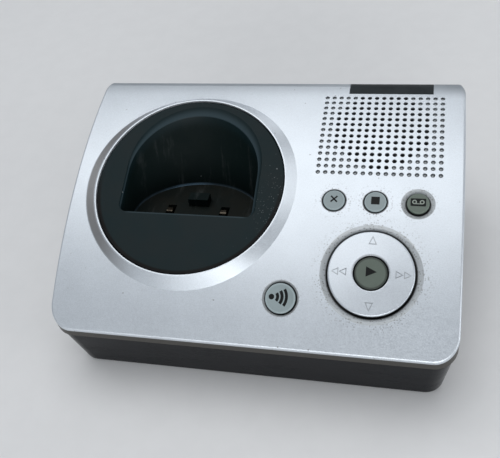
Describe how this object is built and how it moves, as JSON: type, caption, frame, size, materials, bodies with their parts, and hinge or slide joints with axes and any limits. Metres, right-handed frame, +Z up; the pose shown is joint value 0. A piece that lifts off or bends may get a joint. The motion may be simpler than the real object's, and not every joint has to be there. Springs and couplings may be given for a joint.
{
  "type": "cordless phone base unit",
  "caption": "Sloping desktop phone base: round cradle with leaning handset pocket, sprung contacts, speaker grille, four-way ring and round keys.",
  "frame": {"origin": "on the table, under the middle of the case", "axes": "+X to the right of someone facing the keys, +Y to the rear where the jacks are, +Z up"},
  "size_m": [0.1484, 0.1072, 0.0646],
  "materials": {
    "silver_paint": "satin silver paint on moulded plastic",
    "slate_plastic": "fine matt dark slate moulding",
    "case_plastic": "polished black moulding",
    "key_plastic": "satin grey green keycap with a dark symbol",
    "smoke_plastic": "smoky translucent keycap with a dark symbol",
    "label_film": "bare dark film",
    "silicone": "soft grey silicone",
    "foot_rubber": "dark rubber",
    "inner_plastic": "black engineering plastic",
    "spring_metal": "nickel-plated spring strip",
    "plated_wire": "gold-plated contact metal",
    "circuit_board": "green solder mask on glass laminate",
    "sheet_steel": "zinc-plated pressed steel",
    "screw_steel": "plated steel screw",
    "ferrite": "sintered ferrite",
    "cone_paper": "pressed black paper",
    "foam": "closed-cell foam",
    "dust_cloth": "thin black cloth",
    "lamp_resin": "clear lamp resin on a white body",
    "tinned_steel": "bright tinned sheet",
    "chip_epoxy": "moulded epoxy",
    "copper_winding": "varnished copper winding on a core",
    "capacitor_sleeve": "shrink sleeve on an aluminium can",
    "ribbon_film": "white flexible film"
  },
  "bodies": {
    "base": {"top_cover": "silver_paint", "rear_label": "label_film", "cradle_insert": "slate_plastic", "contact_holder": "inner_plastic", "key_mat": "silicone", "control_board": "circuit_board", "message_lamp": "lamp_resin", "speaker_frame": "sheet_steel", "speaker_magnet": "ferrite", "speaker_yoke": "sheet_steel", "speaker_gasket": "foam", "speaker_cloth": "dust_cloth", "lower_case": "case_plastic", "rubber_feet": "foot_rubber", "main_board": "circuit_board", "line_jack": "inner_plastic", "line_jack_wires": "plated_wire", "dc_jack": "inner_plastic", "dc_jack_pin": "plated_wire", "rf_shield": "tinned_steel", "signal_chip": "chip_epoxy", "line_transformer": "copper_winding", "filter_capacitors": "capacitor_sleeve", "antenna": "plated_wire", "board_ribbon": "ribbon_film", "ribbon_sockets": "inner_plastic", "case_screws": "screw_steel", "control_board_screws": "screw_steel", "main_board_screws": "screw_steel", "cradle_screws": "screw_steel", "speaker_screws": "screw_steel"},
    "erase_button": {"erase_key": "key_plastic"},
    "stop_button": {"stop_key": "key_plastic"},
    "message_button": {"message_key": "smoke_plastic"},
    "locator_button": {"locator_key": "key_plastic"},
    "play_button": {"play_key": "smoke_plastic"},
    "rocker": {"nav_rocker": "inner_plastic"},
    "ring": {"nav_ring": "silver_paint"},
    "contact_left": {"charge_contact_left": "spring_metal"},
    "contact_right": {"charge_contact_right": "spring_metal"},
    "cone": {"speaker_cone": "cone_paper"}
  },
  "joints": [
    {"name": "erase_press", "type": "slide", "parent": "base", "child": "erase_button", "axis": [0, 0.3118, -0.9501], "range_m": [0, 0.0008], "stiffness_N_per_m": 400, "springref_m": -0.001},
    {"name": "stop_press", "type": "slide", "parent": "base", "child": "stop_button", "axis": [0, 0.3118, -0.9501], "range_m": [0, 0.0008], "stiffness_N_per_m": 400, "springref_m": -0.001},
    {"name": "message_press", "type": "slide", "parent": "base", "child": "message_button", "axis": [0, 0.3118, -0.9501], "range_m": [0, 0.0008], "stiffness_N_per_m": 400, "springref_m": -0.001},
    {"name": "locator_press", "type": "slide", "parent": "base", "child": "locator_button", "axis": [0, 0.4738, -0.8806], "range_m": [0, 0.0008], "stiffness_N_per_m": 400, "springref_m": -0.001},
    {"name": "play_press", "type": "slide", "parent": "base", "child": "play_button", "axis": [0, 0.4282, -0.9037], "range_m": [0, 0.0008], "stiffness_N_per_m": 400, "springref_m": -0.001},
    {"name": "ring_fore_aft", "type": "hinge", "parent": "base", "child": "rocker", "pos_m": [0.0438, -0.02727, 0.0381], "axis": [1, 0, 0], "range_deg": [-2.5, 2.5], "stiffness_Nm_per_rad": 0.25},
    {"name": "ring_side", "type": "hinge", "parent": "rocker", "child": "ring", "pos_m": [0.0438, -0.02833, 0.04034], "axis": [0, 0.9037, 0.4282], "range_deg": [-2.5, 2.5], "stiffness_Nm_per_rad": 0.25},
    {"name": "speaker_travel", "type": "slide", "parent": "base", "child": "cone", "axis": [0, -0.1641, 0.9864], "range_m": [-0.00025, 0.00025], "stiffness_N_per_m": 1500},
    {"name": "contact_left_flex", "type": "hinge", "parent": "base", "child": "contact_left", "pos_m": [-0.038, 0.00824, 0.03151], "axis": [1, 0, 0], "range_deg": [0, 10], "stiffness_Nm_per_rad": 0.042, "springref_deg": -5.73},
    {"name": "contact_right_flex", "type": "hinge", "parent": "base", "child": "contact_right", "pos_m": [-0.0158, 0.00824, 0.03151], "axis": [1, 0, 0], "range_deg": [0, 10], "stiffness_Nm_per_rad": 0.042, "springref_deg": -5.73}
  ]
}
